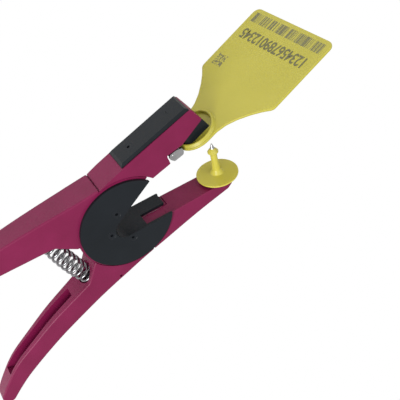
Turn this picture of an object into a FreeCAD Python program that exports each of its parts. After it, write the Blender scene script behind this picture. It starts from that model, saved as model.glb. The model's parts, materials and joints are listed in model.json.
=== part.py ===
import FreeCAD, Part
import Sketcher
import math
import os

# Ear tag applicator: a pair of crossing die-cast arms that turn on a large notched hub.  One arm
# is the lower handle and the tag jaw, the other is the upper handle and the pin jaw.
# Frame: +X from the hub to the jaws, +Y from the pin jaw to the tag jaw, +Z across the tool.
# The origin is on the hub axis, halfway through the thickness.

os.makedirs("parts", exist_ok=True)
doc = FreeCAD.newDocument("ear_tag_applicator")
V = FreeCAD.Vector

# ---------------------------------------------------------------- driving dimensions (mm, degrees)

DIMENSIONS = [
    ("casting_width", 21.4, "width of both castings across the hub"),
    ("hub_radius", 34.5, "outside of each casting's round web"),
    ("shoulder_gap", 0.5, "radial gap between a web and the other casting's shoulders"),
    ("spot_depth", 0.3, "machined face under each disc"),
    ("web_gap", 1.0, "gap between the two webs, where the thrust washer runs"),
    ("washer_inset", 1.5, "thrust washer's rim inside the webs' rims"),
    ("washer_play", 0.1, "free play on each side of the thrust washer"),
    ("disc_radius", 33.0, "black discs on both sides of the hub"),
    ("disc_thickness", 2.0, "thickness of a disc"),
    ("journal_radius", 16.0, "hub journal on which the pin jaw arm turns"),
    ("journal_fit", 0.08, "running clearance on the journal"),
    ("seat_fit", 0.03, "clearance of a piece pressed or screwed into its own arm"),
    ("notch_radius", 7.5, "rounded end of the ear notch in the discs"),
    ("notch_x", -2.3, "centre of the notch's rounded end"),
    ("notch_y", -1.9, "centre of the notch's rounded end"),
    ("notch_upper", 23.0, "slope of the notch's upper edge"),
    ("notch_lower", -11.5, "slope of the notch's lower edge and of the pin jaw's face"),
    ("liner_thickness", 2.0, "black liner between the notch and the tag jaw's web"),
    ("screw_circle", 12.8, "radius of the disc screws' circle"),
    ("screw_radius", 1.5, "shank of the disc, cover and clip screws"),
    ("screw_head", 2.9, "head radius of the countersunk screws"),
    ("seam_x", -2.6, "where the two arms' top shoulders meet"),
    ("seam_gap", 0.4, "gap between meeting shoulders"),
    ("handle_half", 6.2, "half the width of a handle at its end"),
    ("taper_start", 18.0, "distance behind the hub where the handles begin to narrow"),
    ("taper_end", 132.0, "distance behind the hub where the handles are narrowest"),
    ("tag_jaw_half", 9.9, "half the width of the tag jaw at its nose"),
    ("pin_jaw_half", 9.3, "half the width of the pin jaw at its tip"),
    ("handle_rounding", 1.2, "rounded long edges of the handles"),
    ("jaw_rounding", 0.8, "rounded long edges of the pin jaw"),
    ("channel_width", 8.0, "hollow on the inner side of each handle"),
    ("spring_wire", 1.8, "wire of the handle spring"),
    ("spring_radius", 5.6, "outside radius of the handle spring"),
    ("spring_turns", 12.0, "turns of the handle spring"),
    ("well_radius", 7.0, "round wells that hold the spring's ends"),
    ("seat_disc", 1.2, "thickness of the spring seats"),
    ("peg_radius", 2.4, "peg of a spring seat"),
    ("peg_length", 5.0, "length of a spring seat's peg"),
    ("cover_length", 55.8, "black cover along the tag jaw"),
    ("cover_height", 2.2, "height of the cover"),
    ("cover_half", 9.8, "half the width of the cover at its foot"),
    ("cover_bevel", 1.4, "bevel along both edges of the cover"),
    ("cover_slope", 6.6, "slope of the tag jaw's back"),
    ("seat_slope", 12.0, "slope of the seat that holds the tag"),
    ("seat_x", 71.8, "centre of the tag's hole on the seat"),
    ("seat_y", 22.4, "centre of the tag's hole on the seat"),
    ("insert_half", 9.4, "half the width of the tag seat insert"),
    ("insert_foot", 12.7, "rounded back of the insert inside the tag's ring"),
    ("bore_clearance", 0.8, "clearance round the tag's socket in the jaw"),
    ("stud_bore_depth", 12.5, "depth of the jaw's bore above the seat"),
    ("closing_angle", 25.0, "turn from open jaws to closed jaws"),
    ("tag_thickness", 1.6, "thickness of the tag's plate"),
    ("tag_x", 72.0, "centre of the hole in the tag's upper face"),
    ("tag_y", 21.2, "centre of the hole in the tag's upper face"),
    ("tag_slope", 9.3, "the tag hangs a little below its seat"),
    ("tag_half", 40.3, "half the width of the tag's panel"),
    ("tag_shoulder", 39.0, "from the tag's hole to its shoulders"),
    ("tag_panel", 57.0, "length of the tag's panel"),
    ("tag_end_radius", 16.2, "rounded end of the tag"),
    ("tag_flare", 20.0, "concave flare between the tag's neck and its shoulders"),
    ("tag_corner", 5.0, "rounded corners of the panel"),
    ("tag_yaw", 4.8, "turn of the tag about its hole"),
    ("ridge_inner", 13.1, "inside radius of the ring on the tag"),
    ("ridge_outer", 14.9, "outside radius of the ring on the tag"),
    ("ridge_height", 2.2, "height of the ring on the tag"),
    ("socket_radius", 7.6, "outside of the tag's black socket"),
    ("socket_height", 6.0, "height of the socket above the plate"),
    ("head_clearance", 0.9, "clearance of the stud's head in the socket"),
    ("flange_radius", 14.9, "flange of the male button"),
    ("flange_thickness", 1.6, "thickness of the flange"),
    ("flange_drop", 12.9, "flange face below the seat with the jaws closed"),
    ("stud_radius", 2.4, "stem of the button's stud"),
    ("head_radius", 3.8, "head of the stud"),
    ("head_height", 18.2, "head above the flange"),
    ("stud_height", 25.2, "tip of the stud above the flange"),
    ("pin_radius", 1.3, "needle of the applicator pin"),
    ("pin_foot_radius", 2.5, "foot of the applicator pin in the jaw"),
    ("pin_collar_radius", 4.2, "collar of the applicator pin"),
    ("pin_fit", 0.05, "running fit of the button on the pin"),
    ("clip_x", 50.0, "hinge of the tag clip"),
    ("clip_y", 21.4, "hinge of the tag clip"),
    ("clip_pin_radius", 1.3, "hinge pin of the tag clip"),
    ("clip_sheet", 1.5, "sheet thickness of the tag clip"),
    ("clip_gap", 0.3, "gap between the clip's cheeks and the jaw"),
    ("cord_hole_radius", 1.0, "small cross hole near the lower handle's edge"),
]

sheet = doc.addObject("Spreadsheet::Sheet", "Dims")
for row, (alias, value, meaning) in enumerate(DIMENSIONS, start=1):
    sheet.set("A%d" % row, meaning)
    sheet.set("B%d" % row, str(value))
    sheet.setAlias("B%d" % row, alias)
doc.recompute()


def size(alias):
    """Value of a cell of the sheet."""
    return float(sheet.get(alias))


HALF_CASTING = "Dims.casting_width / 2"
HALF_BODY = "(Dims.casting_width / 2 - Dims.spot_depth)"
HALF_GAP = "Dims.web_gap / 2"
half_casting = size("casting_width") / 2
shoulder_radius = size("hub_radius") + size("shoulder_gap")


# ---------------------------------------------------------------- small modelling helpers

def unit(degrees):
    """Unit vector in the plane of the tool at an angle from +X."""
    return V(math.cos(math.radians(degrees)), math.sin(math.radians(degrees)), 0)


def turned_by(point, degrees):
    """A point turned about the hub axis."""
    return FreeCAD.Rotation(V(0, 0, 1), degrees).multVec(point)


def new_body(name):
    body = doc.addObject("PartDesign::Body", name)
    body.Label = name
    return body


def new_sketch(body, name, height="0", role="XY_Plane"):
    """Sketch on one of the body's own origin planes, raised along the plane's normal."""
    sketch = body.newObject("Sketcher::SketchObject", name)
    plane = [feature for feature in body.Origin.OriginFeatures if feature.Role == role][0]
    sketch.AttachmentSupport = (plane, [""])
    sketch.MapMode = "FlatFace"
    sketch.setExpression("AttachmentOffset.Base.z", height)
    return sketch


def add_circle(sketch, radius, x=0.0, y=0.0):
    """Circle whose radius follows an expression on the sheet."""
    index = sketch.addGeometry(Part.Circle(V(x, y, 0), V(0, 0, 1), 1.0))
    constraint = sketch.addConstraint(Sketcher.Constraint("Radius", index, 1.0))
    sketch.setExpression("Constraints[%d]" % constraint, radius)
    for kind, value in (("DistanceX", x), ("DistanceY", y)):
        sketch.addConstraint(Sketcher.Constraint(kind, -1, 1, index, 3, value))


def add_outline(sketch, corners):
    """Closed outline.  Each corner is (x, y, rounding); a rounding of -1 bends all the way."""
    arcs = []
    count = len(corners)
    for i in range(count):
        here = V(corners[i][0], corners[i][1], 0)
        radius = corners[i][2]
        if radius == 0:
            arcs.append((here, None, here))
            continue
        before = V(*corners[i - 1][:2], 0) - here
        after = V(*corners[(i + 1) % count][:2], 0) - here
        half = before.getAngle(after) / 2
        if radius < 0:
            radius = 0.49 * min(before.Length, after.Length) * math.tan(half)
        before.normalize()
        after.normalize()
        bisector = (before + after).normalize()
        centre = here + bisector * (radius / math.sin(half))
        run = radius / math.tan(half)
        arcs.append((here + before * run, centre - bisector * radius, here + after * run))
    for i in range(count):
        start, middle_point, end = arcs[i]
        if middle_point is not None:
            sketch.addGeometry(Part.Arc(start, middle_point, end))
        following = arcs[(i + 1) % count][0]
        if (following - end).Length > 1e-6:
            sketch.addGeometry(Part.LineSegment(end, following))


def add_notch(sketch, extra, rim):
    """V-shaped ear notch with a rounded end, widened by extra, out to a circle about the hub."""
    radius = size("notch_radius") + extra
    centre = V(size("notch_x"), size("notch_y"), 0)
    upper, lower = size("notch_upper"), size("notch_lower")
    top = centre + unit(upper + 90) * radius
    bottom = centre + unit(lower - 90) * radius
    back = centre - unit((upper + lower) / 2) * radius
    ends = []
    for start, angle in ((top, upper), (bottom, lower)):
        along = start.dot(unit(angle))
        run = math.sqrt(rim ** 2 - start.Length ** 2 + along ** 2) - along
        ends.append(start + unit(angle) * run)
    top_end, bottom_end = ends
    middle = (top_end + bottom_end).normalize() * rim
    sketch.addGeometry(Part.Arc(top, back, bottom))
    sketch.addGeometry(Part.LineSegment(bottom, bottom_end))
    sketch.addGeometry(Part.Arc(bottom_end, middle, top_end))
    sketch.addGeometry(Part.LineSegment(top_end, top))


def pad(body, sketch, length):
    feature = body.newObject("PartDesign::Pad", sketch.Name + "_pad")
    feature.Profile = sketch
    feature.setExpression("Length", length)
    body.Tip = feature
    return feature


def pocket(body, sketch, depth):
    """Cut from the sketch down along its plane's normal."""
    feature = body.newObject("PartDesign::Pocket", sketch.Name + "_cut")
    feature.Profile = sketch
    feature.setExpression("Length", depth)
    body.Tip = feature
    return feature


def bore(body, name, start, direction, radius, depth):
    """Round hole cut by a cylinder that starts at a point and runs along a direction."""
    feature = body.newObject("PartDesign::SubtractiveCylinder", name)
    feature.setExpression("Radius", radius)
    feature.setExpression("Height", depth)
    feature.Placement = FreeCAD.Placement(start, FreeCAD.Rotation(V(0, 0, 1), direction))
    body.Tip = feature
    return feature


def turned(name, profile, base, direction):
    """Turned piece: a half profile of (radius, height, rounding) spun about its own Z axis."""
    body = new_body(name)
    sketch = new_sketch(body, name + "_profile", role="XZ_Plane")
    add_outline(sketch, profile)
    feature = body.newObject("PartDesign::Revolution", name + "_turn")
    feature.Profile = sketch
    feature.ReferenceAxis = (sketch, ["V_Axis"])
    feature.Angle = 360
    body.Tip = feature
    body.Placement = FreeCAD.Placement(base, FreeCAD.Rotation(V(0, 0, 1), direction))
    return body


def soften(body, name, kind, amount, chosen):
    """Fillet or chamfer the edges of the body's present shape that a test picks."""
    base = body.Tip
    doc.recompute()
    feature = body.newObject("PartDesign::" + kind, name)
    edges = ["Edge%d" % i for i, edge in enumerate(base.Shape.Edges, start=1) if chosen(edge)]
    feature.Base = (base, edges)
    feature.setExpression("Radius" if kind == "Fillet" else "Size", amount)
    body.Tip = feature


def half_width(x, x_start, x_end, end_half):
    """Half the width of an arm at a station along X."""
    full = size("casting_width") / 2
    share = max(0.0, (x - x_start) / (x_end - x_start))
    return full + (end_half - full) * share


def runs_along(edge, x_start, x_end, end_half, reach):
    """True for an edge of an arm's side face that lies beyond a distance from the hub axis."""
    for vertex in edge.Vertexes:
        point = vertex.Point
        if abs(abs(point.z) - half_width(point.x, x_start, x_end, end_half)) > 0.02:
            return False
        if math.hypot(point.x, point.y) < reach:
            return False
    low, high = edge.BoundBox.ZMin, edge.BoundBox.ZMax
    return low * high > 0


def side_taper(body, name, x_start, x_end, end_half):
    """Narrow an arm evenly on both sides from one station along X to another."""
    full = size("casting_width") / 2
    slope = (end_half - full) / (x_end - x_start)
    beyond = x_end + 30 * math.copysign(1, x_end - x_start)
    half_beyond = full + slope * (beyond - x_start)
    sketch = new_sketch(body, name, role="XZ_Plane")
    for side in (1, -1):
        outline = [
            (x_start, side * full, 0),
            (beyond, side * half_beyond, 0),
            (beyond, side * (full + 2), 0),
            (x_start, side * (full + 2), 0),
        ]
        add_outline(sketch, outline)
    feature = body.newObject("PartDesign::Pocket", name + "_cut")
    feature.Profile = sketch
    feature.Type = 1
    feature.Midplane = True
    body.Tip = feature


# ---------------------------------------------------------------- places that several pieces share

seam_x = size("seam_x")
seam_half = size("seam_gap") / 2
seat_normal = unit(90 + size("seat_slope"))
seat_along = unit(size("seat_slope"))
seat_centre = V(size("seat_x"), size("seat_y"), 0)

# With the jaws closed the stud's axis lies on the axis of the tag's hole.
stud_axis = turned_by(seat_normal, -size("closing_angle"))
flange_centre = turned_by(seat_centre - seat_normal * size("flange_drop"), -size("closing_angle"))

# The handle spring stands between a well in each handle.
spring_foot = V(-41.2, -33.0, 0)
spring_head = V(-49.5, 21.5, 0)
spring_axis = (spring_head - spring_foot).normalize()

clip_axis = V(size("clip_x"), size("clip_y"), 0)
cover_along = unit(size("cover_slope"))
cover_rear = V(17.2, 38.55, 0)


def disc_with_notch(name, low, height, radius, extra, inner=None):
    """Round plate with the ear notch cut out of it."""
    body = new_body(name)
    blank = new_sketch(body, name + "_blank", low)
    add_circle(blank, radius)
    if inner:
        add_circle(blank, inner)
    pad(body, blank, height)
    notch = new_sketch(body, name + "_notch", low + " + " + height + " + 1")
    add_notch(notch, extra, 60)
    pocket(body, notch, height + " + 2")
    return body


# ---------------------------------------------------------------- hub

# The black core is the journal on which the pin jaw's arm turns, with a V of thick walls that
# lines the notch on the tag jaw's side.
core = new_body("pivot_core")
core_round = new_sketch(core, "core_journal", "-" + HALF_BODY)
add_circle(core_round, "Dims.journal_radius")
pad(core, core_round, "2 * " + HALF_BODY)
liner = new_sketch(core, "core_liner", "-" + HALF_BODY)
add_notch(liner, size("liner_thickness"), size("disc_radius") - 0.3)
pad(core, liner, HALF_BODY + " - " + HALF_GAP)
core_notch = new_sketch(core, "core_notch", HALF_BODY + " + 1")
add_notch(core_notch, 0, 80)
pocket(core, core_notch, "Dims.casting_width + 4")

# Discs on both sides, held to the core by three countersunk screws each.
near_disc = disc_with_notch("near_disc", HALF_BODY, "Dims.disc_thickness", "Dims.disc_radius", 0)
far_disc = disc_with_notch(
    "far_disc", "-" + HALF_BODY + " - Dims.disc_thickness", "Dims.disc_thickness",
    "Dims.disc_radius", 0)

# C-shaped thrust washer between the two webs, fixed to the tag jaw's web.
disc_with_notch(
    "thrust_washer", "-" + HALF_GAP, "Dims.web_gap - 2 * Dims.washer_play",
    "Dims.hub_radius - Dims.washer_inset", size("liner_thickness") + 0.6,
    "Dims.journal_radius + 1")

screw_angles = (100, 180, 260)
head = size("screw_head")
shank = size("screw_radius")
top = half_casting - size("spot_depth") + size("disc_thickness")


def screw_profile(length):
    """Countersunk screw with its top at height 0 and a round drive recess."""
    return [
        (0, -1.2, 0), (1.1, -1.2, 0), (1.1, -0.15, 0), (head, -0.15, 0),
        (shank, -0.15 - head + shank, 0), (shank, -length, 0), (0, -length, 0),
    ]


def screw_hole(body, name, start, direction, depth):
    """Countersunk hole for a screw, cut along a direction from the face at its start."""
    drill = body.newObject("PartDesign::SubtractiveCylinder", name + "_drill")
    drill.setExpression("Radius", "Dims.screw_radius + Dims.seat_fit")
    drill.Height = depth
    drill.Placement = FreeCAD.Placement(start, FreeCAD.Rotation(V(0, 0, 1), direction))
    sink = body.newObject("PartDesign::SubtractiveCone", name + "_sink")
    sink.setExpression("Radius1", "Dims.screw_head + 0.15 + Dims.seat_fit")
    sink.setExpression("Radius2", "Dims.screw_radius + Dims.seat_fit")
    sink.setExpression("Height", "Dims.screw_head + 0.15 - Dims.screw_radius")
    sink.Placement = drill.Placement
    body.Tip = sink


for side, plate in (("near", near_disc), ("far", far_disc)):
    facing = 1 if side == "near" else -1
    for number, angle in enumerate(screw_angles, start=1):
        spot = unit(angle) * size("screw_circle") + V(0, 0, facing * top)
        inward = V(0, 0, -facing)
        name = "%s_screw_%d" % (side, number)
        screw_hole(plate, name + "_in_disc", spot, inward, 4)
        bore(core, name + "_in_core", spot, inward, "Dims.screw_radius + Dims.seat_fit", "8.2")
        turned(name, screw_profile(8.0), spot, V(0, 0, facing))

# ---------------------------------------------------------------- tag jaw and lower handle

tag_arm = new_body("tag_jaw_casting")
web = new_sketch(tag_arm, "tag_web", "-" + HALF_BODY)
add_circle(web, "Dims.hub_radius")
pad(tag_arm, web, HALF_BODY + " - " + HALF_GAP)
tag_notch = new_sketch(tag_arm, "tag_notch", "0")
add_notch(tag_notch, size("liner_thickness") + size("seat_fit"), 60)
pocket(tag_arm, tag_notch, "Dims.casting_width")

jaw = new_sketch(tag_arm, "tag_jaw", "-" + HALF_CASTING)
add_outline(jaw, [
    (seam_x + seam_half, 20, 0),
    (seam_x + seam_half, 35.2, 0.8),
    (6.0, 37.0, -1),
    (17.2, 38.5, 0),
    (73.4, 45.0, 2.5),
    (77.3, 32.9, 1.0),
    (58.0, 25.4, 0.8),
    (45.5, 25.4, 1.0),
    (45.1, 18.5, 0.8),
    (37.0, 18.0, -1),
    (28.6, 17.4, 0),
    (12.0, 20.0, 0),
])
pad(tag_arm, jaw, "Dims.casting_width")

lower = new_sketch(tag_arm, "lower_handle", "-" + HALF_CASTING)
add_outline(lower, [
    (5.0, -20.0, 0),
    (5.0, -35.9, 0.8),
    (-8.0, -37.2, -1),
    (-22.0, -39.3, -1),
    (-41.0, -42.7, -1),
    (-61.0, -47.6, -1),
    (-82.0, -53.2, -1),
    (-102.0, -60.3, -1),
    (-119.0, -67.3, -1),
    (-131.0, -74.2, -1),
    (-140.5, -80.5, 4.5),
    (-145.0, -72.0, 4.5),
    (-134.0, -62.0, -1),
    (-119.0, -50.6, -1),
    (-100.0, -43.4, -1),
    (-80.0, -35.6, -1),
    (-61.3, -30.6, -1),
    (-44.5, -26.2, 6.0),
    (-33.0, -13.6, 3.0),
    (-20.0, -9.0, 0),
])
pad(tag_arm, lower, "Dims.casting_width")

# Round recess in which the other arm's web turns, and the machined face under the far disc.
recess = new_sketch(tag_arm, "tag_recess", HALF_CASTING + " + 1")
add_circle(recess, "Dims.hub_radius + Dims.shoulder_gap")
pocket(tag_arm, recess, HALF_CASTING + " + " + HALF_GAP + " + 1")
face = new_sketch(tag_arm, "tag_disc_face", "-" + HALF_BODY)
add_circle(face, "Dims.hub_radius + Dims.shoulder_gap")
pocket(tag_arm, face, "Dims.spot_depth + 1")
liner_seat = new_sketch(tag_arm, "tag_liner_seat", "0")
add_notch(liner_seat, size("liner_thickness") + size("seat_fit"), size("disc_radius") + 0.2)
pocket(tag_arm, liner_seat, "Dims.casting_width")
tag_bore = new_sketch(tag_arm, "tag_bore", "0")
add_circle(tag_bore, "Dims.journal_radius + Dims.seat_fit")
pocket(tag_arm, tag_bore, "Dims.casting_width")

side_taper(tag_arm, "tag_jaw_taper", 17.0, 78.0, size("tag_jaw_half"))
side_taper(tag_arm, "lower_taper", -size("taper_start"), -size("taper_end"), size("handle_half"))

tag_edges = (-size("taper_start"), -size("taper_end"), size("handle_half"), shoulder_radius + 0.3)
soften(tag_arm, "lower_rounding", "Fillet", "Dims.handle_rounding",
       lambda edge: edge.BoundBox.XMax < -20 and runs_along(edge, *tag_edges))

# ---------------------------------------------------------------- pin jaw and upper handle

pin_arm = new_body("pin_jaw_casting")
web = new_sketch(pin_arm, "pin_web", HALF_GAP)
add_circle(web, "Dims.hub_radius")
pad(pin_arm, web, HALF_BODY + " - " + HALF_GAP)
pin_notch = new_sketch(pin_arm, "pin_notch", HALF_CASTING + " + 1")
add_notch(pin_notch, size("liner_thickness"), 60)
pocket(pin_arm, pin_notch, "Dims.casting_width")

jaw = new_sketch(pin_arm, "pin_jaw", "-" + HALF_CASTING)
add_outline(jaw, [
    (5.0 + 2 * seam_half, -20.0, 0),
    (5.0 + 2 * seam_half, -35.7, 0.8),
    (22.0, -34.4, -1),
    (46.0, -33.0, -1),
    (71.5, -32.9, 3.0),
    (77.2, -30.0, 2.2),
    (75.0, -26.6, 1.5),
    (30.2, -17.9, 1.0),
    (26.0, -17.0, 0),
])
pad(pin_arm, jaw, "Dims.casting_width")

upper = new_sketch(pin_arm, "upper_handle", "-" + HALF_CASTING)
add_outline(upper, [
    (seam_x - seam_half, 20.0, 0),
    (seam_x - seam_half, 36.1, 0.8),
    (-20.0, 37.6, -1),
    (-40.0, 39.9, -1),
    (-60.0, 41.8, -1),
    (-80.0, 42.9, -1),
    (-101.0, 43.2, -1),
    (-119.0, 41.6, -1),
    (-131.0, 38.6, 4.5),
    (-132.0, 29.5, 4.5),
    (-119.0, 28.6, -1),
    (-102.0, 27.8, -1),
    (-82.0, 24.5, -1),
    (-63.0, 20.7, -1),
    (-47.0, 17.6, 8.0),
    (-35.4, 5.4, 3.0),
    (-20.0, 3.0, 0),
])
pad(pin_arm, upper, "Dims.casting_width")

recess = new_sketch(pin_arm, "pin_recess", HALF_GAP)
add_circle(recess, "Dims.hub_radius + Dims.shoulder_gap")
pocket(pin_arm, recess, HALF_CASTING + " + " + HALF_GAP + " + 1")
face = new_sketch(pin_arm, "pin_disc_face", HALF_CASTING + " + 1")
add_circle(face, "Dims.hub_radius + Dims.shoulder_gap")
pocket(pin_arm, face, "Dims.spot_depth + Dims.washer_play + 1")
pin_bore = new_sketch(pin_arm, "pin_bore", HALF_CASTING + " + 1")
add_circle(pin_bore, "Dims.journal_radius + Dims.journal_fit")
pocket(pin_arm, pin_bore, "Dims.casting_width")

side_taper(pin_arm, "pin_jaw_taper", 17.0, 76.0, size("pin_jaw_half"))
side_taper(pin_arm, "upper_taper", -size("taper_start"), -size("taper_end"), size("handle_half"))

soften(pin_arm, "upper_rounding", "Fillet", "Dims.handle_rounding",
       lambda edge: edge.BoundBox.XMax < -20 and runs_along(edge, *tag_edges))
pin_edges = (17.0, 76.0, size("pin_jaw_half"), shoulder_radius + 0.3)
soften(pin_arm, "pin_jaw_rounding", "Fillet", "Dims.jaw_rounding",
       lambda edge: edge.BoundBox.XMin > 30 and runs_along(edge, *pin_edges))

# ---------------------------------------------------------------- hollows in the handles

def hollow(body, name, near_hub, far_end, floor_offset):
    """Long hollow along the inner side of a handle, cut across from one outline."""
    sketch = new_sketch(body, name, "Dims.channel_width / 2")
    add_outline(sketch, near_hub + far_end)
    pocket(body, sketch, "Dims.channel_width")


hollow(tag_arm, "lower_hollow",
       [(-59.0, -31.5, 2), (-62.0, -42.0, 4), (-82.0, -48.0, -1), (-102.0, -55.0, -1)],
       [(-121.0, -62.5, 4), (-128.0, -57.0, 2), (-118.0, -45.0, 0), (-60.0, -22.0, 0)], 0)
hollow(pin_arm, "upper_hollow",
       [(-62.0, 21.0, 2), (-64.0, 34.0, 4), (-82.0, 37.0, -1), (-102.0, 37.6, -1)],
       [(-118.0, 36.0, 4), (-124.0, 29.0, 2), (-120.0, 20.0, 0), (-60.0, 12.0, 0)], 0)

# Round wells for the handle spring, with a flat floor square to the spring's axis.
spring_length = (spring_head - spring_foot).Length
bore(tag_arm, "lower_well", spring_foot - spring_axis * size("seat_disc"), spring_axis,
     "Dims.well_radius", "20")
bore(pin_arm, "upper_well", spring_head + spring_axis * size("seat_disc"), spring_axis * -1,
     "Dims.well_radius", "20")

# ---------------------------------------------------------------- handle spring and its seats

seat_profile = [
    (0, 0, 0), (size("well_radius") - 0.4, 0, 0), (size("well_radius") - 0.4, size("seat_disc"), 0.3),
    (size("peg_radius"), size("seat_disc"), 0),
    (size("peg_radius"), size("seat_disc") + size("peg_length"), 0.8),
    (0, size("seat_disc") + size("peg_length"), 0),
]
turned("spring_seat_lower", seat_profile, spring_foot - spring_axis * size("seat_disc"), spring_axis)
turned("spring_seat_upper", seat_profile, spring_head + spring_axis * size("seat_disc"),
       spring_axis * -1)

helix = doc.addObject("Part::Helix", "spring_path")
helix.setExpression("Radius", "Dims.spring_radius - Dims.spring_wire / 2")
helix.Height = spring_length - size("spring_wire") - 0.1
helix.setExpression("Pitch", "%f / Dims.spring_turns" % float(helix.Height))
wire_circle = doc.addObject("Part::Circle", "spring_section")
wire_circle.setExpression("Radius", "Dims.spring_wire / 2")
wire_circle.Placement = FreeCAD.Placement(
    V(size("spring_radius") - size("spring_wire") / 2, 0, 0), FreeCAD.Rotation(V(1, 0, 0), 90))
coil = doc.addObject("Part::Sweep", "handle_spring")
coil.Label = "handle_spring"
coil.Sections = [wire_circle]
coil.Spine = (helix, ["Edge1"])
coil.Solid = True
coil.Frenet = True
coil.Placement = FreeCAD.Placement(
    spring_foot + spring_axis * (size("spring_wire") / 2 + 0.05),
    FreeCAD.Rotation(V(0, 0, 1), spring_axis))

# ---------------------------------------------------------------- cover on the tag jaw

cover = new_body("jaw_cover")
sketch = new_sketch(cover, "cover_side", "-Dims.cover_half")
rear = cover_rear
front = rear + cover_along * size("cover_length")
up = unit(90 + size("cover_slope")) * size("cover_height")
add_outline(sketch, [
    (rear.x, rear.y, 0),
    (front.x, front.y, 0),
    (front.x + up.x * 2, front.y + up.y, 0),
    (rear.x + up.x + 1.0, rear.y + up.y, 0),
])
pad(cover, sketch, "2 * Dims.cover_half")


def on_cover_edge(edge):
    """True for the edges round the cover's top."""
    normal = unit(90 + size("cover_slope"))
    heights = [(vertex.Point - cover_rear).dot(normal) for vertex in edge.Vertexes]
    return min(heights) > size("cover_height") - 0.5


soften(cover, "cover_bevel", "Chamfer", "Dims.cover_bevel", on_cover_edge)

# ---------------------------------------------------------------- tag seat insert in the jaw

seat_place = FreeCAD.Placement(
    seat_centre, FreeCAD.Rotation(seat_along, V(0, 0, -1), seat_normal, "XYZ"))


def seat_cut(body, name, outline, low, depth):
    """Cut with an outline drawn on the seat plane, from a height above it downwards."""
    tool = doc.addObject("Sketcher::SketchObject", name)
    body.addObject(tool)
    tool.Placement = seat_place.multiply(FreeCAD.Placement(V(0, 0, low), FreeCAD.Rotation()))
    for piece in outline:
        tool.addGeometry(piece)
    pocket(body, tool, depth)


def slot_outline(radius, reach):
    """Round-ended slot about the hole's axis, open towards the nose of the jaw."""
    return [
        Part.Arc(V(0, radius, 0), V(-radius, 0, 0), V(0, -radius, 0)),
        Part.LineSegment(V(0, -radius, 0), V(reach, -radius, 0)),
        Part.LineSegment(V(reach, -radius, 0), V(reach, radius, 0)),
        Part.LineSegment(V(reach, radius, 0), V(0, radius, 0)),
    ]


insert = new_body("jaw_insert")
insert_side = new_sketch(insert, "insert_side", "-Dims.insert_half")
foot_back = seat_centre - seat_along * size("insert_foot")
foot_front = seat_centre + seat_along * 8.2
add_outline(insert_side, [
    (foot_back.x, foot_back.y, 0),
    (foot_front.x, foot_front.y, 0.8),
    (77.3, 32.85, 0),
    (58.0, 25.35, 0),
])
pad(insert, insert_side, "2 * Dims.insert_half")
seat_cut(insert, "insert_round", [
    Part.Circle(V(0, 0, 0), V(0, 0, 1), size("insert_foot")),
    Part.Circle(V(0, 0, 0), V(0, 0, 1), size("insert_foot") + 30),
], 20, "40")
slot = size("socket_radius") + size("bore_clearance")
seat_cut(insert, "insert_slot", slot_outline(slot, 30), 20, "40")
seat_cut(tag_arm, "socket_room", slot_outline(slot, 30), size("socket_height") + 1.0, "20")
seat_cut(tag_arm, "stud_room", slot_outline(5.6, 5), size("stud_bore_depth") + 4.5, "30")

# ---------------------------------------------------------------- applicator pin in the pin jaw

collar_low = -4.0
bore(pin_arm, "pin_seat", flange_centre + stud_axis * 1, stud_axis * -1,
     "Dims.pin_foot_radius + Dims.seat_fit", "8.0")
spot_face = stud_axis * (collar_low + 0.6)
bore(pin_arm, "pin_spot", flange_centre + stud_axis * 2, stud_axis * -1,
     "Dims.pin_collar_radius + 0.3", "5.5")
turned("applicator_pin", [
    (0, -7.0, 0), (size("pin_foot_radius"), -7.0, 0), (size("pin_foot_radius"), -3.5, 0),
    (size("pin_collar_radius"), -3.5, 0),
    (size("pin_collar_radius"), -size("flange_thickness") - 0.1, 0.4),
    (size("pin_radius"), -size("flange_thickness") - 0.1, 0),
    (size("pin_radius"), 19.0, 0), (0.3, 20.6, 0), (0, 20.6, 0),
], flange_centre, stud_axis)

# ---------------------------------------------------------------- male button on the pin

hole = size("pin_radius") + size("pin_fit")
foot = -size("flange_thickness")
turned("male_button", [
    (hole, foot, 0), (size("flange_radius"), foot, 0.5), (size("flange_radius"), -0.3, 0.2),
    (12.0, 0, 0), (4.6, 0.4, 1.2), (size("stud_radius") + 0.5, 3.4, 3.0),
    (size("stud_radius"), 12.0, 0),
    (size("stud_radius"), size("head_height"), 0), (size("head_radius"), size("head_height"), 0),
    (size("head_radius"), size("head_height") + 0.8, 0),
    (1.75, size("stud_height") - 3.6, 0), (hole, size("stud_height") - 3.6, 0),
], flange_centre, stud_axis)
turned("button_tip", [
    (0, size("stud_height") - 3.6, 0), (1.7, size("stud_height") - 3.6, 0),
    (0.45, size("stud_height"), 0), (0, size("stud_height"), 0),
], flange_centre, stud_axis)

# ---------------------------------------------------------------- female tag on the seat

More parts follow.
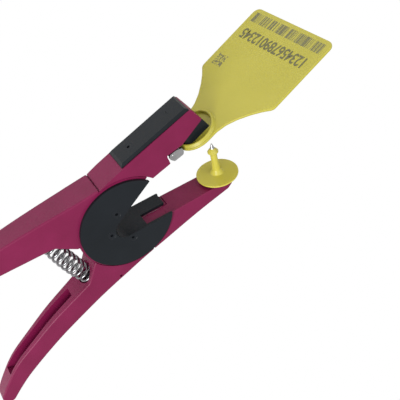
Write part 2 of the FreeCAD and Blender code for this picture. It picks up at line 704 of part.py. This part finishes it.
tag_normal = unit(90 + size("tag_slope"))
tag_place = FreeCAD.Placement(
    V(size("tag_x"), size("tag_y"), 0),
    FreeCAD.Rotation(unit(size("tag_slope")), V(0, 0, -1), tag_normal, "XYZ"))
tag_place = tag_place.multiply(FreeCAD.Placement(
    V(0, 0, 0), FreeCAD.Rotation(V(0, 0, 1), size("tag_yaw"))))
tag = new_body("female_tag")
plate = new_sketch(tag, "tag_plate", "-Dims.tag_thickness")
neck = size("tag_end_radius")
half = size("tag_half")
shoulder = size("tag_shoulder")
corner = size("tag_corner")
end = shoulder + size("tag_panel")
swell = size("tag_flare")
neck_end = shoulder - swell - 3.0
for side in (1, -1):
    plate.addGeometry(Part.LineSegment(V(0, side * neck, 0), V(neck_end, side * neck, 0)))
    bend = V(neck_end, side * (neck + swell), 0)
    bend_middle = bend + V(math.sin(math.radians(42)), -side * math.cos(math.radians(42)), 0) * swell
    bend_end = bend + V(math.sin(math.radians(84)), -side * math.cos(math.radians(84)), 0) * swell
    plate.addGeometry(Part.Arc(V(neck_end, side * neck, 0), bend_middle, bend_end))
    shoulder_in = V(shoulder - 1.6, side * (half - 3.4), 0)
    shoulder_out = V(shoulder + 2.4, side * half, 0)
    plate.addGeometry(Part.LineSegment(bend_end, shoulder_in))
    plate.addGeometry(Part.Arc(shoulder_in, V(shoulder - 0.3, side * (half - 0.9), 0), shoulder_out))
    plate.addGeometry(Part.LineSegment(shoulder_out, V(end - corner, side * half, 0)))
    inset = corner * (1 - math.sqrt(0.5))
    plate.addGeometry(Part.Arc(
        V(end - corner, side * half, 0), V(end - inset, side * (half - inset), 0),
        V(end, side * (half - corner), 0)))
plate.addGeometry(Part.LineSegment(V(end, half - corner, 0), V(end, corner - half, 0)))
plate.addGeometry(Part.Arc(V(0, neck, 0), V(-neck, 0, 0), V(0, -neck, 0)))
pad(tag, plate, "Dims.tag_thickness")
ring = new_sketch(tag, "tag_ring", "-Dims.tag_thickness / 2")
add_circle(ring, "Dims.ridge_outer")
add_circle(ring, "Dims.ridge_inner")
pad(tag, ring, "Dims.ridge_height + Dims.tag_thickness / 2")
tag_hole = new_sketch(tag, "tag_hole", "1")
add_circle(tag_hole, "Dims.socket_radius - 1.2")
pocket(tag, tag_hole, "Dims.tag_thickness + 2")
tag.Placement = tag_place

socket = size("socket_radius")
room = size("head_radius") + size("head_clearance")
turned("tag_socket", [
    (room, -size("tag_thickness"), 0), (socket - 1.25, -size("tag_thickness"), 0),
    (socket - 1.25, 0.05, 0), (socket, 0.05, 0), (socket, size("socket_height") - 1.0, 0.8),
    (socket - 1.6, size("socket_height"), 0), (room, size("socket_height"), 0),
], tag_place.Base, tag_normal)

# ---------------------------------------------------------------- tag clip under the tag jaw

lug = new_sketch(tag_arm, "clip_lug", "-6")
add_outline(lug, [
    (clip_axis.x - 2.3, clip_axis.y - 2.3, 2.2), (clip_axis.x + 2.3, clip_axis.y - 2.3, 2.2),
    (clip_axis.x + 2.3, 27, 0), (clip_axis.x - 2.3, 27, 0),
])
pad(tag_arm, lug, "12")
lug_hole = new_sketch(tag_arm, "clip_lug_hole", "7")
add_circle(lug_hole, "Dims.clip_pin_radius + Dims.seat_fit", clip_axis.x, clip_axis.y)
pocket(tag_arm, lug_hole, "14")
cheek = 8.0
clip = new_body("tag_clip")
cheeks = new_sketch(clip, "clip_cheeks", "-%f - Dims.clip_sheet" % cheek)
add_outline(cheeks, [
    (47.4, 23.9, 1.8), (46.2, 20.6, 1.8), (48.5, 17.2, 1.5), (55.6, 17.6, 1.2), (56.8, 19.4, 0.8),
    (56.8, 22.6, 1.0), (53.0, 24.0, 1.2),
])
pad(clip, cheeks, "2 * (%f + Dims.clip_sheet)" % cheek)
inside = new_sketch(clip, "clip_inside", "%f" % cheek)
add_outline(inside, [
    (40.0, 18.7, 0), (53.8, 18.9, 0), (53.8, 10.0, 0), (62.0, 10.0, 0), (62.0, 30.0, 0),
    (40.0, 30.0, 0),
])
pocket(clip, inside, "%f" % (2 * cheek))
clip_hole = new_sketch(clip, "clip_hole", "12")
add_circle(clip_hole, "Dims.clip_pin_radius + Dims.pin_fit", clip_axis.x, clip_axis.y)
pocket(clip, clip_hole, "24")
turned("clip_pin", [
    (0, -10.0, 0), (1.9, -10.0, 0.3), (1.9, -9.6, 0), (size("clip_pin_radius"), -9.6, 0),
    (size("clip_pin_radius"), 9.6, 0), (1.9, 9.6, 0), (1.9, 10.0, 0.3), (0, 10.0, 0),
], clip_axis, V(0, 0, 1))

# ---------------------------------------------------------------- screws and small holes

for number, run in enumerate((12.0, 47.0), start=1):
    spot = cover_rear + cover_along * run + up
    name = "cover_screw_%d" % number
    inward = up * (-1 / up.Length)
    screw_hole(cover, name + "_in_cover", spot, inward, 5)
    bore(tag_arm, name + "_in_jaw", spot, inward, "Dims.screw_radius + Dims.seat_fit", "8.2")
    turned(name, screw_profile(8.0), spot, up * (1 / up.Length))

cord_hole = new_sketch(tag_arm, "cord_hole", HALF_CASTING + " + 1")
add_circle(cord_hole, "Dims.cord_hole_radius", -24.3, -37.3)
pocket(tag_arm, cord_hole, "Dims.casting_width + 2")

lock_spot = V(77.8, -29.9, 0)
bore(pin_arm, "lock_hole", lock_spot, V(-1, 0, 0), "Dims.screw_radius + Dims.seat_fit", "5.2")
turned("pin_lock_screw", [
    (0, 1.3, 0), (0.8, 1.3, 0), (0.8, 0, 0), (size("screw_radius"), 0, 0.2),
    (size("screw_radius"), 3.2, 0), (0.8, 3.6, 0), (0, 3.6, 0),
], V(76.7, -29.9, 0), V(-1, 0, 0))

# ---------------------------------------------------------------- check and export

doc.recompute()
NODES = [item for item in doc.Objects if item.TypeId == "PartDesign::Body"] + [coil]
for item in doc.Objects:
    if "Invalid" in item.State or "Error" in item.State:
        raise RuntimeError("%s does not build: %s" % (item.Name, item.State))
for node in NODES:
    shape = node.Shape
    if shape.isNull() or not shape.isValid() or len(shape.Solids) != 1:
        raise RuntimeError("%s has no single valid solid" % node.Label)
    shape.exportStep(os.path.join("parts", node.Label + ".step"))
    print(node.Label, round(shape.Volume, 1))
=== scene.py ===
import json
import math

import bmesh
import bpy
import numpy as np
from mathutils import Matrix, Vector


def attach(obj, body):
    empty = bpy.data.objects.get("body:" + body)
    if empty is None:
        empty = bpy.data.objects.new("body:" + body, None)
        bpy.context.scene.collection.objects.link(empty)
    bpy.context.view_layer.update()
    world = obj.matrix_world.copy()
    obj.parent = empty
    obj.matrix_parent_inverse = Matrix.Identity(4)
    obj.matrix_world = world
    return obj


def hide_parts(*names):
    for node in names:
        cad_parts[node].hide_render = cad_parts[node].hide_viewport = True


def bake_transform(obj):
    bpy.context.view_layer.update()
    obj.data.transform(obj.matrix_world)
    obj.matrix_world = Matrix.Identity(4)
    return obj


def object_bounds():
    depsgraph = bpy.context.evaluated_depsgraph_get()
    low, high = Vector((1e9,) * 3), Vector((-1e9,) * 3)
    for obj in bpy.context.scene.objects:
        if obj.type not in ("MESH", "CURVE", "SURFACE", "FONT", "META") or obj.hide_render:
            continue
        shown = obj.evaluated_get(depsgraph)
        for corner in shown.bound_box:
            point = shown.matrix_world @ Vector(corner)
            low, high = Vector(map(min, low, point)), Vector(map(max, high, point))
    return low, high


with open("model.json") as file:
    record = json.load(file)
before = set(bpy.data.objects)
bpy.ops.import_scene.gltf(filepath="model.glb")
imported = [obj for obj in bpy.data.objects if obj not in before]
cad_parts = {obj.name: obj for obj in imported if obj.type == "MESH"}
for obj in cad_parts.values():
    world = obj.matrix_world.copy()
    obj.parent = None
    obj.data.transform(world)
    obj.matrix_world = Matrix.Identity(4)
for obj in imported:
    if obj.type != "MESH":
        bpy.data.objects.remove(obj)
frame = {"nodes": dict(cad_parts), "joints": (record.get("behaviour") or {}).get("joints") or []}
rest_bounds = [list(corner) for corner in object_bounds()]
nodes = frame["nodes"]


class Socket:
    """A shader value: plain arithmetic on it adds the Math nodes."""

    def __init__(self, tree, out):
        self.tree = tree
        self.out = out

    def math(self, operation, *values):
        node = self.tree.nodes.new("ShaderNodeMath")
        node.operation = operation
        for place, value in zip(node.inputs, (self,) + values):
            if isinstance(value, Socket):
                self.tree.links.new(value.out, place)
            else:
                place.default_value = value
        return Socket(self.tree, node.outputs[0])

    def node(self, kind, target=None, out=0, **settings):
        """Another node that reads this value in one of its inputs."""
        made = self.tree.nodes.new(kind)
        for name, value in settings.items():
            if name in made.inputs:
                made.inputs[name].default_value = value
            else:
                setattr(made, name, value)
        if target is not None:
            self.tree.links.new(self.out, made.inputs[target])
        return Socket(self.tree, made.outputs[out])

    def __add__(self, other):
        return self.math("ADD", other)

    def __sub__(self, other):
        return self.math("SUBTRACT", other)

    def __rsub__(self, other):
        return (self * -1.0) + other

    def __mul__(self, other):
        return self.math("MULTIPLY", other)

    def __truediv__(self, other):
        return self.math("DIVIDE", other)

    def __lt__(self, other):
        return self.math("LESS_THAN", other)

    def __gt__(self, other):
        return self.math("GREATER_THAN", other)

    __radd__ = __add__
    __rmul__ = __mul__


def material(name, color, roughness, metallic=0.0, specular=0.5):
    """A Principled material; gives it with its tree, shader and object coordinates in metres."""
    made = bpy.data.materials.new(name)
    made.use_nodes = True
    tree = made.node_tree
    shader = tree.nodes["Principled BSDF"]
    shader.inputs["Base Color"].default_value = (*color, 1)
    shader.inputs["Roughness"].default_value = roughness
    shader.inputs["Metallic"].default_value = metallic
    shader.inputs["Specular IOR Level"].default_value = specular
    place = tree.nodes.new("ShaderNodeTexCoord").outputs["Object"]
    return made, tree, shader, Socket(tree, place)


def mottle(tree, shader, place, dark, light, scale, bump, rough_low, rough_high):
    """Fine uneven colour, gloss and grain of a moulded, cast or coated surface."""
    noise = place.node("ShaderNodeTexNoise", "Vector", 0, Scale=scale, Detail=4.0)
    ramp = noise.node("ShaderNodeMix", 0, 2, data_type="RGBA")
    mix = ramp.out.node
    mix.inputs["A"].default_value = (*dark, 1)
    mix.inputs["B"].default_value = (*light, 1)
    tree.links.new(ramp.out, shader.inputs["Base Color"])
    rough = noise * (rough_high - rough_low) + rough_low
    tree.links.new(rough.out, shader.inputs["Roughness"])
    grain = place.node("ShaderNodeTexNoise", "Vector", 0, Scale=scale * 14, Detail=2.0)
    relief = grain.node("ShaderNodeBump", "Height", 0, Strength=bump, Distance=0.0003)
    tree.links.new(relief.out, shader.inputs["Normal"])
    return ramp


def dress(names, made):
    """Give CAD nodes a material."""
    for name in names:
        nodes[name].data.materials.clear()
        nodes[name].data.materials.append(made)


# ---- painted castings: wine powder coat with a fine grain

paint, tree, shader, place = material("wine_paint", (0.18, 0.006, 0.05), 0.42, 0.0, 0.3)
mottle(tree, shader, place, (0.14, 0.004, 0.038), (0.21, 0.009, 0.064), 60.0, 0.25, 0.36, 0.5)
dress(("tag_jaw_casting", "pin_jaw_casting"), paint)

# ---- black mouldings: hub discs and core, cover, tag seat and spring seats

black, tree, shader, place = material("black_moulding", (0.006, 0.008, 0.011), 0.4, 0.0, 0.25)
mottle(tree, shader, place, (0.004, 0.006, 0.008), (0.009, 0.012, 0.016), 45.0, 0.2, 0.3, 0.45)
dress(("pivot_core", "near_disc", "far_disc", "jaw_cover", "jaw_insert", "spring_seat_lower",
       "spring_seat_upper", "tag_socket"), black)

# ---- thrust washer: grey-green wear plastic

washer, tree, shader, place = material("washer_plastic", (0.3, 0.34, 0.32), 0.6)
mottle(tree, shader, place, (0.26, 0.3, 0.28), (0.34, 0.38, 0.36), 80.0, 0.1, 0.5, 0.65)
dress(("thrust_washer",), washer)

# ---- bare steel: clip, pins and screws, with a fine brushed grain

steel, tree, shader, place = material("bare_steel", (0.5, 0.5, 0.5), 0.3, 1.0)
mottle(tree, shader, place, (0.42, 0.42, 0.42), (0.6, 0.6, 0.6), 220.0, 0.15, 0.24, 0.4)
dress(("tag_clip", "clip_pin", "applicator_pin", "pin_lock_screw", "button_tip"), steel)

# ---- dark screws in the discs and the cover

dark_steel, tree, shader, place = material("black_screws", (0.012, 0.014, 0.017), 0.4, 0.3, 0.3)
mottle(tree, shader, place, (0.008, 0.01, 0.013), (0.016, 0.019, 0.024), 200.0, 0.1, 0.34, 0.46)
dress([name for name in nodes if "_screw_" in name], dark_steel)

# ---- yellow polyurethane of the button

yellow = (0.56, 0.5, 0.045)
button_yellow, tree, shader, place = material("button_yellow", yellow, 0.4)
mottle(tree, shader, place, (0.5, 0.44, 0.05), (0.58, 0.52, 0.08), 50.0, 0.05, 0.34, 0.46)
shader.inputs["Subsurface Weight"].default_value = 0.15
shader.inputs["Subsurface Radius"].default_value = (0.003, 0.0026, 0.0006)
shader.inputs["Subsurface Scale"].default_value = 1.0
dress(("male_button",), button_yellow)

# ---- printed tag: yellow plate with a barcode, a row of digits and a square code

# The plate's own axes: along it from the hole, across it, and out of its printed face.
tag_joint = [joint for joint in frame["joints"] if joint["name"] == "tag_swivel"][0]
hole = Vector(tag_joint["pos_m"])
normal = Vector(tag_joint["axis"]).normalized()
along = Vector((normal.y, -normal.x, 0)).normalized()
across = normal.cross(along).normalized()
yaw = math.radians(4.8)
along = (along * math.cos(yaw) + across * math.sin(yaw)).normalized()
across = normal.cross(along)

# The plate is the button's yellow plastic but its colours are set darker here: painted shade on the
# plate's face.
tag_yellow_painted_shade, tree, shader, place = material("tag_yellow_painted_shade", yellow, 0.38)
base = mottle(tree, shader, place, (0.4, 0.36, 0.035), (0.48, 0.43, 0.06), 30.0, 0.04, 0.34, 0.46)
shader.inputs["Subsurface Weight"].default_value = 0.12
shader.inputs["Subsurface Radius"].default_value = (0.003, 0.0026, 0.0006)
shader.inputs["Subsurface Scale"].default_value = 1.0


def axis_value(direction, scale=1000.0):
    """Distance from the hole along a direction, in millimetres."""
    dot = place.node("ShaderNodeVectorMath", 0, 1, operation="DOT_PRODUCT")
    dot.out.node.inputs[1].default_value = direction
    return (dot - hole.dot(direction)) * scale


u = axis_value(along)
v = axis_value(across)
w = axis_value(normal)
printed = (w > -0.2) * (w < 0.3)


def band(value, low, high):
    return (value > low) * (value < high)


# Barcode along the end edge: bars of uneven width from stepped noise across the plate.
cell = (v * 2.2).math("FLOOR")
bar = cell.node("ShaderNodeTexWhiteNoise", "W", 0, noise_dimensions="1D")
bars = (bar > 0.36) * band(u, 85.0, 93.0) * band(v, -36.0, 36.0)

# Square code near one shoulder.
cell_u = (u * 1.25).math("FLOOR")
cell_v = (v * 1.25).math("FLOOR")
dots = (cell_u * 7.31 + cell_v * 13.77).node(
    "ShaderNodeTexWhiteNoise", "W", 0, noise_dimensions="1D")
square = (dots > 0.45) * band(u, 44.8, 54.4) * band(v, 25.6, 35.2)
ink = (bars + square) * printed
ink_mix = ink.node("ShaderNodeMix", 0, 2, data_type="RGBA")
tree.links.new(base.out, ink_mix.out.node.inputs["A"])
ink_mix.out.node.inputs["B"].default_value = (0.16, 0.15, 0.06, 1)
tree.links.new(ink_mix.out, shader.inputs["Base Color"])


# The plate has a softened rim all round and a rounded ring about its hole.
def tag_half(side):
    """Outline of one half of the tag from its round end to its end edge, in millimetres."""
    neck = 16.2
    start = [(-neck * math.cos(a), side * neck * math.sin(a))
             for a in np.linspace(0, math.pi / 2, 14)]
    knots = np.array([(0, 16.2), (7, 16.3), (14, 18.2), (21, 22.2), (28, 27.8), (33.5, 33.2),
                      (36.6, 36.9), (38.3, 39.2), (40.2, 40.2), (42.5, 40.3)])
    chord = np.concatenate([[0], np.cumsum(np.linalg.norm(np.diff(knots, axis=0), axis=1))])
    dense = np.linspace(chord[0], chord[-1], 40)[1:]
    flare = [(np.interp(d, chord, knots[:, 0]), side * np.interp(d, chord, knots[:, 1])) for d in dense]
    end = [(91.3 + 5 * math.sin(a), side * (35.3 + 5 * math.cos(a)))
           for a in np.linspace(0, math.pi / 2, 8)]
    return start + flare + end


def tag_point(x, y, z):
    """A point of the tag, given along, across and above its plate in millimetres."""
    return tuple(hole + (along * x + across * y + normal * z) * 0.001)


rim = np.array(tag_half(-1) + tag_half(1)[:0:-1])
keep = np.linalg.norm(rim - np.roll(rim, 1, axis=0), axis=1) > 0.05
rim = rim[keep]
ahead = np.roll(rim, -1, axis=0) - np.roll(rim, 1, axis=0)
inward = np.stack([-ahead[:, 1], ahead[:, 0]], axis=1)
inward /= np.linalg.norm(inward, axis=1)[:, None]
if np.sum((rim - rim.mean(axis=0)) * inward) > 0:
    inward = -inward
shape = bmesh.new()
loops = []
for inset, z in ((0.45, 0.0), (0.12, -0.12), (0.0, -0.45), (0.0, -1.15), (0.12, -1.48), (0.45, -1.6)):
    loops.append([shape.verts.new(tag_point(*(p + q * inset), z)) for p, q in zip(rim, inward)])
holes = []
for z in (0.0, -1.6):
    holes.append([shape.verts.new(tag_point(6.6 * math.cos(a), 6.6 * math.sin(a), z))
                  for a in np.linspace(0, 2 * math.pi, 41)[:-1]])
for upper, lower in list(zip(loops, loops[1:])) + [(holes[0], holes[1])]:
    for i in range(len(upper)):
        k = (i + 1) % len(upper)
        shape.faces.new((upper[i], upper[k], lower[k], lower[i]))
for outer, inner in ((loops[0], holes[0]), (loops[-1], holes[1])):
    edges = []
    for loop in (outer, inner):
        for i in range(len(loop)):
            edges.append(shape.edges.get((loop[i], loop[(i + 1) % len(loop)])))
    bmesh.ops.triangle_fill(shape, use_beauty=True, edges=edges, normal=normal)
ridge = []
for r, z in ((12.6, 0.02), (13.0, 0.5), (13.2, 1.8), (13.6, 2.15), (14.4, 2.15), (14.8, 1.8),
             (15.0, 0.6), (15.6, 0.02)):
    ridge.append([shape.verts.new(tag_point(r * math.cos(a), r * math.sin(a), z))
                  for a in np.linspace(0, 2 * math.pi, 65)[:-1]])
for upper, lower in zip(ridge, ridge[1:]):
    for i in range(64):
        k = (i + 1) % 64
        shape.faces.new((upper[i], upper[k], lower[k], lower[i]))
bmesh.ops.recalc_face_normals(shape, faces=shape.faces)
plate_mesh = bpy.data.meshes.new("tag_plate")
shape.to_mesh(plate_mesh)
shape.free()
for polygon in plate_mesh.polygons:
    polygon.use_smooth = polygon.area < 4e-6
plate = bpy.data.objects.new("tag_plate", plate_mesh)
bpy.context.scene.collection.objects.link(plate)
plate.data.materials.append(tag_yellow_painted_shade)
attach(plate, "female_tag")
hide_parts("female_tag")

# ---- digits on the tag: one flat row of plain numbers just above the plate,
# read from the hub's side and scaled to the row's real width and height

ink_made, tree, shader, place = material("print_ink", (0.12, 0.11, 0.05), 0.5)
mottle(tree, shader, place, (0.1, 0.095, 0.04), (0.15, 0.14, 0.06), 90.0, 0.02, 0.45, 0.55)
row_width = 0.066
row_height = 0.0086
row_from_hole = 0.0755
print_lift = 0.00012
letters = bpy.data.objects.new("tag_digits", bpy.data.curves.new("tag_digits", "FONT"))
bpy.context.scene.collection.objects.link(letters)
letters.data.body = "123456789012345"
letters.data.offset = 0.00012
letters.data.size = 0.0078
letters.data.align_x = "CENTER"
letters.data.align_y = "CENTER"
letters.data.space_character = 0.98
bpy.context.view_layer.update()
wide, high = row_width / letters.dimensions.x, row_height / letters.dimensions.y
spot = hole + along * row_from_hole + normal * print_lift
letters.matrix_world = Matrix((
    (across.x * wide, -along.x * high, normal.x, spot.x),
    (across.y * wide, -along.y * high, normal.y, spot.y),
    (across.z * wide, -along.z * high, normal.z, spot.z),
    (0, 0, 0, 1),
))
bpy.context.view_layer.update()
graph = bpy.context.evaluated_depsgraph_get()
flat = bpy.data.meshes.new_from_object(letters.evaluated_get(graph))
flat.transform(letters.matrix_world)
bpy.data.objects.remove(letters)
digits = bpy.data.objects.new("tag_print", flat)
bpy.context.scene.collection.objects.link(digits)
digits.data.materials.clear()
digits.data.materials.append(ink_made)
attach(digits, "female_tag")

# ---- handle spring: a barrel-shaped coil of bright wire between the two handles,
# slightly bowed towards the hub

chrome, tree, shader, place = material("bright_wire", (0.3, 0.3, 0.31), 0.22, 1.0)
mottle(tree, shader, place, (0.2, 0.2, 0.21), (0.36, 0.36, 0.37), 240.0, 0.05, 0.16, 0.28)
foot = Vector((-0.0412, -0.0330, 0))
head = Vector((-0.0495, 0.0215, 0))
axis = (head - foot).normalized()
length = (head - foot).length
side_a = Vector((0, 0, 1))
side_b = axis.cross(side_a)
wire = 0.0009
turns = 12
sides = 12
steps = turns * 30
t = np.linspace(0.0, 1.0, steps + 1)
rise = np.clip((t - 0.06) / 0.88, 0, 1)
height = wire + (length - 2 * wire) * rise
radius = 0.0041 + 0.0018 * np.sin(np.pi * t) ** 0.8
angle = 2 * np.pi * turns * t
bow = 0.0010 * np.sin(np.pi * t)
centre = (np.outer(height, np.array(axis)) + np.array(foot)
          + np.outer(radius * np.cos(angle), np.array(side_a))
          + np.outer(radius * np.sin(angle) - bow, np.array(side_b)))
tangent = np.gradient(centre, axis=0)
tangent /= np.linalg.norm(tangent, axis=1)[:, None]
out = centre - (np.outer(height, np.array(axis)) + np.array(foot))
out -= tangent * np.sum(out * tangent, axis=1)[:, None]
out /= np.linalg.norm(out, axis=1)[:, None]
third = np.cross(tangent, out)
ring = np.linspace(0, 2 * np.pi, sides + 1)[:-1]
points = (centre[:, None, :] + wire * (np.cos(ring)[None, :, None] * out[:, None, :]
          + np.sin(ring)[None, :, None] * third[:, None, :])).reshape(-1, 3)
faces = []
for i in range(steps):
    for j in range(sides):
        k = (j + 1) % sides
        here, following = i * sides, (i + 1) * sides
        faces.append((here + j, here + k, following + k, following + j))
faces.append(tuple(reversed(range(sides))))
faces.append(tuple(steps * sides + j for j in range(sides)))
mesh = bpy.data.meshes.new("spring_coil")
mesh.from_pydata([tuple(p) for p in points], [], faces)
mesh.update()
for polygon in mesh.polygons:
    polygon.use_smooth = len(polygon.vertices) == 4
coil = bpy.data.objects.new("spring_coil", mesh)
bpy.context.scene.collection.objects.link(coil)
coil.data.materials.append(chrome)
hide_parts("handle_spring")
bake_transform(coil)

# ---- floor: a plain pale plane just under the tool, white to the camera

floor_made, tree, shader, place = material("pale_floor", (0.8, 0.8, 0.8), 0.9)
light_path = tree.nodes.new("ShaderNodeLightPath")
glow = tree.nodes.new("ShaderNodeEmission")
blend_shader = tree.nodes.new("ShaderNodeMixShader")
output = tree.nodes["Material Output"]
tree.links.new(light_path.outputs["Is Camera Ray"], blend_shader.inputs[0])
tree.links.new(shader.outputs[0], blend_shader.inputs[1])
tree.links.new(glow.outputs[0], blend_shader.inputs[2])
tree.links.new(blend_shader.outputs[0], output.inputs["Surface"])
floor_mesh = bpy.data.meshes.new("floor")
low = rest_bounds[0][2] - 0.001
floor_mesh.from_pydata([(-3, -3, low), (3, -3, low), (3, 3, low), (-3, 3, low)], [], [(0, 1, 2, 3)])
floor = bpy.data.objects.new("floor", floor_mesh)
bpy.context.scene.collection.objects.link(floor)
floor.data.materials.append(floor_made)

# ---- soft studio light from the handles' side

world = bpy.data.worlds.new("studio")
bpy.context.scene.world = world
world.use_nodes = True
world.node_tree.nodes["Background"].inputs[0].default_value = (1, 1, 1, 1)
sky = world.node_tree
sky.nodes["Background"].inputs[1].default_value = 0.55
seen = sky.nodes.new("ShaderNodeBackground")
seen.inputs[0].default_value = (1, 1, 1, 1)
choice = sky.nodes.new("ShaderNodeMixShader")
sky.links.new(sky.nodes.new("ShaderNodeLightPath").outputs["Is Camera Ray"], choice.inputs[0])
sky.links.new(sky.nodes["Background"].outputs[0], choice.inputs[1])
sky.links.new(seen.outputs[0], choice.inputs[2])
sky.links.new(choice.outputs[0], sky.nodes["World Output"].inputs["Surface"])
for name, spot, power, width in (
        ("key", (-0.75, 0.35, 0.85), 13.0, 0.6), ("fill", (0.6, 0.5, 0.7), 4.0, 0.9)):
    lamp = bpy.data.objects.new(name, bpy.data.lights.new(name, "AREA"))
    lamp.data.energy = power
    lamp.data.size = width
    lamp.location = spot
    lamp.rotation_euler = (-Vector(spot)).to_track_quat("-Z", "Y").to_euler()
    bpy.context.scene.collection.objects.link(lamp)
bpy.context.scene.view_settings.view_transform = "Standard"

# ---- camera, at the photograph's viewing angle

camera = bpy.data.objects.new("camera", bpy.data.cameras.new("camera"))
bpy.context.scene.collection.objects.link(camera)
camera.data.lens = 67.23
camera.data.sensor_width = 36.0
camera.data.clip_end = 20.0
right = Vector((0.796, -0.360, 0.487)).normalized()
forward = Vector((0.111, -0.704, -0.701)).normalized()
forward = (forward - right * forward.dot(right)).normalized()
up = right.cross(forward)
camera.matrix_world = Matrix((
    (right.x, up.x, -forward.x, -0.0072),
    (right.y, up.y, -forward.y, 0.3369),
    (right.z, up.z, -forward.z, 0.3701),
    (0, 0, 0, 1),
))
bpy.context.scene.camera = camera
